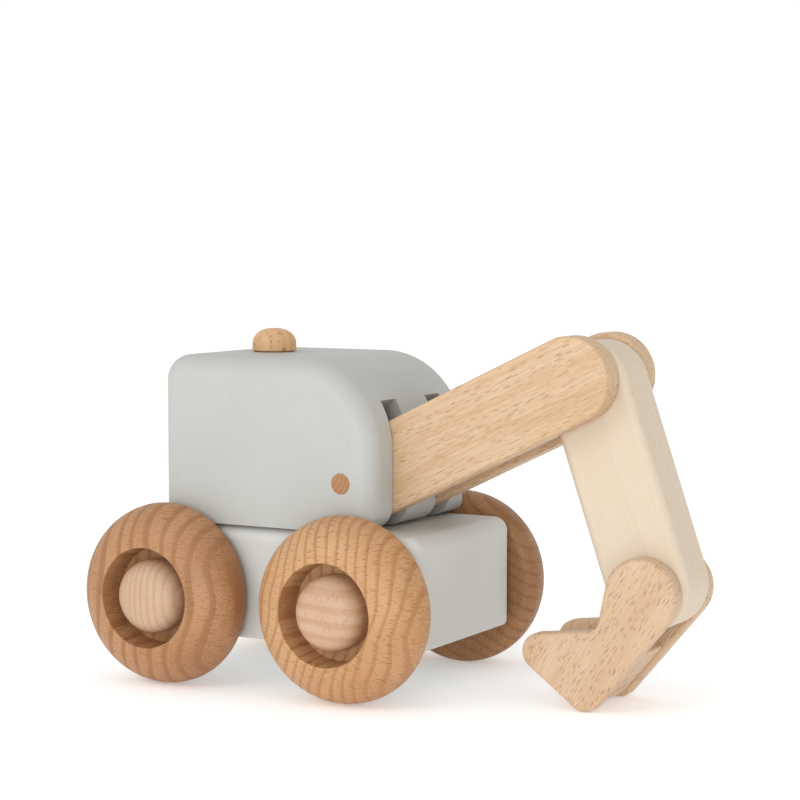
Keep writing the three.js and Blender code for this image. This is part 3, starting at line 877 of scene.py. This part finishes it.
# %% Pegs and dowels
DOWEL_CHAMFER = 0.3
PEG_HEAD_RADIUS = 14.1
PEG_HEAD_SIDE = 3.6
PEG_HEAD_DOME = 10.6
for end in ("front", "rear"):
    for side_name, side in SIDES.items():
        name = f"axle_peg_{end}_{side_name}"
        low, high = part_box(name)
        centre = (low + high) / 2
        length = (high.y - low.y) / MM
        front = end == "front"
        wood = beech(
            f"steamed beech peg, {end} {side_name}",
            "#DEC0A4" if front else "#D3B498",
            "#BE9676" if front else "#B38D6F",
            "#A67C5E",
            grain=(0.15, 1, 0.1),
            pith=beside(centre, 4, 0, -60) if front else beside(centre, -55, 0, 6),
            ring_gap=5.5 if front else 2.6,
            ring_depth=0.65 if front else 0.35,
            dash_size=(4.0, 0.6, 6.0),
            dash_reach=0.3,
            dash_depth=0.5,
            wander=1.2,
            roughness=0.45,
        )
        foot_y = high.y if side < 0 else low.y
        peg = turned(
            f"{end}_{side_name}_axle_peg",
            peg_profile(AXLE_PEG_RADIUS, length, PEG_HEAD_RADIUS, PEG_HEAD_SIDE, PEG_HEAD_DOME),
            wood,
            (0, side, 0),
            Vector((centre.x, foot_y, centre.z)),
            sides=72,
        )
        fit(peg, wood, name, "base")

low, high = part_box("roof_peg")
centre = (low + high) / 2
ROOF_HEAD_RADIUS = 8.75
ROOF_HEAD_SIDE = 2.4
ROOF_HEAD_DOME = 6.7
length = (high.z - low.z) / MM
knob_wood = beech(
    "turned beech roof peg",
    "#E6C49A",
    "#CB9E6E",
    "#98683C",
    grain=(0, 0, 1),
    pith=(centre.x / MM + 30, 40, 0),
    ring_gap=4.0,
    ring_depth=0.3,
    dash_size=(4.0, 0.6, 3.6),
    dash_reach=0.3,
    dash_depth=0.9,
    fibre_depth=1.6,
    wander=1.5,
)
knob = turned(
    "roof_knob",
    peg_profile(ROOF_PEG_RADIUS, length, ROOF_HEAD_RADIUS, ROOF_HEAD_SIDE, ROOF_HEAD_DOME),
    knob_wood,
    (0, 0, 1),
    Vector((centre.x, centre.y, low.z)),
    sides=72,
)
fit(knob, knob_wood, "roof_peg", "base")

dowel_wood = beech(
    "sanded end of a beech dowel",
    "#CFA47A",
    "#9F7048",
    "#7A5130",
    grain=(0, 1, 0),
    pith=beside(cab_dowel, -9, 0, 5),
    ring_gap=1.8,
    ring_depth=0.7,
    dash_size=(4.0, 0.7, 8.0),
    dash_reach=0.34,
    dash_depth=0.9,
    wander=0.4,
)
for arm_part, body in (("boom", "base"), ("dipper", "boom"), ("bucket", "bucket")):
    node = f"{arm_part}_pivot_dowel"
    low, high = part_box(node)
    length = (high.y - low.y) / MM
    end_radius = DOWEL_RADIUS - DOWEL_CHAMFER
    profile = [(0, 0), (end_radius, 0), (DOWEL_RADIUS, DOWEL_CHAMFER)]
    profile += [(DOWEL_RADIUS, length - DOWEL_CHAMFER), (end_radius, length), (0, length)]
    where = Vector(((low.x + high.x) / 2, low.y, (low.z + high.z) / 2))
    dowel = turned(f"{arm_part}_dowel", profile, dowel_wood, (0, 1, 0), where, sides=64)
    fit(dowel, dowel_wood, node, body)

# %% [markdown]
# ## The boom
# Two planks with round ends, one in each slot of the cab. Their fibres run along them, so the rays show as
# many short dashes that lie along the plank, and the round ends show end grain. Wax leaves them pale and
# nearly matt. The hole for the cab's dowel lets the plank turn, and the dipper's dowel is glued into a
# blind hole, so nothing of it shows.

# %% Boom planks
BOOM_WIDTH = 32.0
PLANK_EDGE = 1.2
BOOM_TIP_SETBACK = 1.2
# The planks' and plates' middles lie this far from the toy's, and their pith this far to the right of them.
BOARD_MIDDLE = 17
PITH_DEPTH = 66
boom_run = dipper_dowel - cab_dowel
boom_lean = math.atan2(boom_run.z, boom_run.x)
boom_reach = boom_run.length / MM
boom_way = (math.cos(boom_lean), 0, math.sin(boom_lean))
dipper_place = Vector((boom_run.length, 0, 0))
for side_name, side in SIDES.items():
    name = f"boom_plank_{side_name}"
    low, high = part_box(name)
    wood = beech(
        f"pale waxed beech, {side_name} boom plank",
        "#DBC1A2",
        "#C39F78",
        "#93663F",
        grain=boom_way,
        pith=beside(cab_dowel, 14, side * BOARD_MIDDLE - PITH_DEPTH, -30),
        ring_gap=4.5,
        ring_depth=0.16,
        dash_size=(5.0, 0.62, 6.5),
        dash_reach=0.3,
        dash_depth=1.0,
        fibre_depth=2.0,
        wander=2.2,
        roughness=0.5,
    )
    half = BOOM_WIDTH / 2
    plank = board(
        f"{side_name}_boom_plank",
        [(0, 0, half), (boom_reach - BOOM_TIP_SETBACK, 0, half)],
        low.y / MM,
        high.y / MM,
        PLANK_EDGE,
        steps=36,
        edge_steps=5,
    )
    hole = rod("plank_hole", DOWEL_RADIUS + TURNING_GAP, -CUTTER_REACH, CUTTER_REACH)
    blind_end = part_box("dipper_pivot_dowel")[1].y / MM + GLUE_GAP
    blind = rod("blind_hole", DOWEL_RADIUS + GLUE_GAP, *sorted((0, side * blind_end)))
    saw(plank, [hole, place(blind, dipper_place)])
    place(plank, cab_dowel, boom_lean)
    fit(sand(plank), wood, name, "boom")

# %% [markdown]
# ## The dipper
# One thick board between the planks, with the same round ends but a larger round-over, and a thin cream
# stain. The stain hides most of the grain and leaves only pale lines along the board.

# %% Dipper board
DIPPER_WIDTH = 32.7
DIPPER_EDGE = 3.3
DIPPER_HEAD_SETBACK = 3.3
DIPPER_TIP_SETBACK = 2.6
dipper_run = bucket_dowel - dipper_dowel
dipper_lean = math.atan2(dipper_run.z, dipper_run.x)
dipper_reach = dipper_run.length / MM
low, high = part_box("dipper")
stain_wood = beech(
    "cream stain on beech",
    "#DCCDBA",
    "#D2C1A9",
    "#BFA98B",
    grain=(math.cos(dipper_lean), 0, math.sin(dipper_lean)),
    pith=beside(dipper_dowel, 0, -58, -10),
    ring_gap=4.0,
    ring_depth=0.25,
    dash_size=(5.0, 1.0, 7.0),
    dash_reach=0.28,
    dash_depth=0.4,
    wander=2.0,
    roughness=0.55,
)
half = DIPPER_WIDTH / 2
dipper = board(
    "dipper_board",
    [(DIPPER_HEAD_SETBACK, 0, half), (dipper_reach - DIPPER_TIP_SETBACK, 0, half)],
    low.y / MM,
    high.y / MM,
    DIPPER_EDGE,
    steps=36,
    edge_steps=8,
)
upper_hole = rod("upper_hole", DOWEL_RADIUS + TURNING_GAP, -CUTTER_REACH, CUTTER_REACH)
lower_hole = rod("lower_hole", DOWEL_RADIUS + TURNING_GAP, -CUTTER_REACH, CUTTER_REACH)
saw(dipper, [upper_hole, place(lower_hole, Vector((dipper_run.length, 0, 0)))])
place(dipper, dipper_dowel, dipper_lean)
fit(sand(dipper), stain_wood, "dipper", "dipper")

# %% [markdown]
# ## The bucket
# Two L-shaped plates and a block between them. The plate's outline is a belt round three discs, the lobe on
# the dowel, the toe and the heel, pulled in by a fourth disc in the hollow above the toe. The fibres run
# along the long limb, and the rays show there as long dark flecks under a thin wax.

# %% Bucket plates and block
LOBE = (0.0, 0.0, 13.8)
INSTEP = (-21.5, -8.7, -5.5)
TOE = (-39.6, -23.5, 7.0)
HEEL = (-21.8, -37.9, 6.1)
PLATE_EDGE = 1.5
plate_discs = [LOBE, INSTEP, TOE, HEEL]
limb_lean = math.radians(58)
bucket_tones = ("#DCC3A8", "#C7A583", "#7A4F2F")


def bucket_wood(name, pith, dash_depth):
    return beech(
        name,
        *bucket_tones,
        grain=(math.cos(limb_lean), 0, math.sin(limb_lean)),
        pith=pith,
        ring_gap=5.0,
        ring_depth=0.25,
        dash_size=(5.0, 0.95, 5.6),
        dash_reach=0.28,
        dash_depth=dash_depth,
        wander=2.0,
        roughness=0.5,
        fibre_depth=1.8,
    )


for side_name, side in SIDES.items():
    name = f"bucket_plate_{side_name}"
    low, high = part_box(name)
    pith = beside(bucket_dowel, 0, side * BOARD_MIDDLE - PITH_DEPTH, 0)
    wood = bucket_wood(f"waxed beech, {side_name} bucket plate", pith, 1.0)
    plate = board(
        f"{side_name}_bucket_plate",
        plate_discs,
        low.y / MM,
        high.y / MM,
        PLATE_EDGE,
        steps=24,
        edge_steps=5,
    )
    blind_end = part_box("bucket_pivot_dowel")[1].y / MM + GLUE_GAP
    saw(plate, [rod("blind_hole", DOWEL_RADIUS + GLUE_GAP, *sorted((0, side * blind_end)))])
    place(plate, bucket_dowel)
    fit(sand(plate), wood, name, "bucket")

low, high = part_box("bucket_block")
BLOCK_THICKNESS = 16.0
BLOCK_INSET = 1.5
BLOCK_TOP_DROP = 20.0
BLOCK_CORNER = 1.0
BLOCK_EDGE = 0.4
# A strip is laid along the plates' back edge, longer than it has to be, and the sole's outline cuts it.
apart = math.hypot(HEEL[0], HEEL[1])
back_lean = math.atan2(-HEEL[1], -HEEL[0]) - math.asin((LOBE[2] - HEEL[2]) / apart)
back = BLOCK_INSET - LOBE[2] + BLOCK_CORNER
front = BLOCK_INSET - LOBE[2] + BLOCK_THICKNESS - BLOCK_CORNER
top = -BLOCK_TOP_DROP - BLOCK_CORNER
strip_discs = [
    (x, z, BLOCK_CORNER) for x, z in ((top, back), (top, front), (-2 * apart, front), (-2 * apart, back))
]
block = board(
    "bucket_block_piece", strip_discs, low.y / MM, high.y / MM, BLOCK_EDGE, steps=8, edge_steps=3
)
place(block, Vector((0, 0, 0)), back_lean)
sole = prism("sole_cut", belt(plate_discs, BLOCK_INSET, 24), -CUTTER_REACH, CUTTER_REACH)
saw(block, [sole], "INTERSECT")
place(block, bucket_dowel)
block_wood = bucket_wood("waxed beech, bucket block", beside(bucket_dowel, 0, -70, 0), 0.8)
fit(sand(block), block_wood, "bucket_block", "bucket")

# %% [markdown]
# ## Studio
# A large sheet of matt white paper that glows a little, so that it stays nearly white out to its edge, as
# overexposed paper does in a product photo. The surround is white too: the light it sheds is a little
# weaker than what the camera sees of it. One large soft lamp over the left shoulder gives the rounds their
# shape, and a smaller one, low and near the camera, fills the shadows that face it.

# %% Floor and light
FLOOR_SIZE = 8.0
PAPER_GLOW = 0.27
LAMP_AIM = Vector((0, 0, 0.06))
bpy.ops.mesh.primitive_plane_add(size=FLOOR_SIZE)
floor = bpy.context.object
floor.name = "studio_floor"
sheet = bpy.data.materials.new("matt white paper sheet")
sheet.use_nodes = True
paper = sheet.node_tree.nodes["Principled BSDF"].inputs
paper["Base Color"].default_value = hex_colour("#F8FAFB")
paper["Roughness"].default_value = 0.9
paper["Specular IOR Level"].default_value = 0.1
paper["Emission Color"].default_value = (1, 1, 1, 1)
paper["Emission Strength"].default_value = PAPER_GLOW
floor.data.materials.append(sheet)
floor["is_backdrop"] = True

SURROUND_LIGHT = 0.84
SURROUND_SEEN = 1.08
world = bpy.data.worlds.new("white studio")
world.use_nodes = True
surround = world.node_tree.nodes["Background"]
surround.inputs["Color"].default_value = (1, 1, 1, 1)
seen = add_node(world.node_tree, "ShaderNodeLightPath").outputs["Is Camera Ray"]
strength = add_node(
    world.node_tree,
    "ShaderNodeMapRange",
    {"Value": seen},
    {"To Min": SURROUND_LIGHT, "To Max": SURROUND_SEEN},
).outputs[0]
world.node_tree.links.new(strength, surround.inputs["Strength"])
bpy.context.scene.world = world


def soft_lamp(name, where, size, power):
    """A round softbox aimed at the toy's middle. where and size are in metres, and power is in watts."""
    lamp = bpy.data.lights.new(name, "AREA")
    lamp.shape = "DISK"
    lamp.size = size
    lamp.energy = power
    stand = bpy.data.objects.new(name, lamp)
    stand.location = where
    stand.rotation_euler = (LAMP_AIM - Vector(where)).to_track_quat("-Z", "Y").to_euler()
    bpy.context.scene.collection.objects.link(stand)


soft_lamp("key_softbox", (-0.5, -1.2, 0.9), size=0.9, power=3.5)
soft_lamp("low_fill_softbox", (0.4, -1.15, 0.2), size=0.5, power=3.5)
bpy.context.scene.view_settings.view_transform = "Standard"
print("world and two softboxes")

# %% [markdown]
# ## Camera
# The toy is looked at from its front right corner, from just above its roof and with a long lens, so its
# upright edges stay nearly upright.

# %% Camera
CAMERA_PLACE = (0.4085, -0.73973, 0.17438)
CAMERA_DIP = 4.377
CAMERA_TURN = 29.264
camera = bpy.data.cameras.new("camera")
camera.lens = 99.06
camera.sensor_width = 36
viewer = bpy.data.objects.new("camera", camera)
viewer.location = CAMERA_PLACE
viewer.rotation_euler = (math.radians(90 - CAMERA_DIP), 0, math.radians(CAMERA_TURN))
bpy.context.scene.collection.objects.link(viewer)
bpy.context.scene.camera = viewer

low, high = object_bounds()
print("visual box, mm:", in_mm(low), in_mm(high))
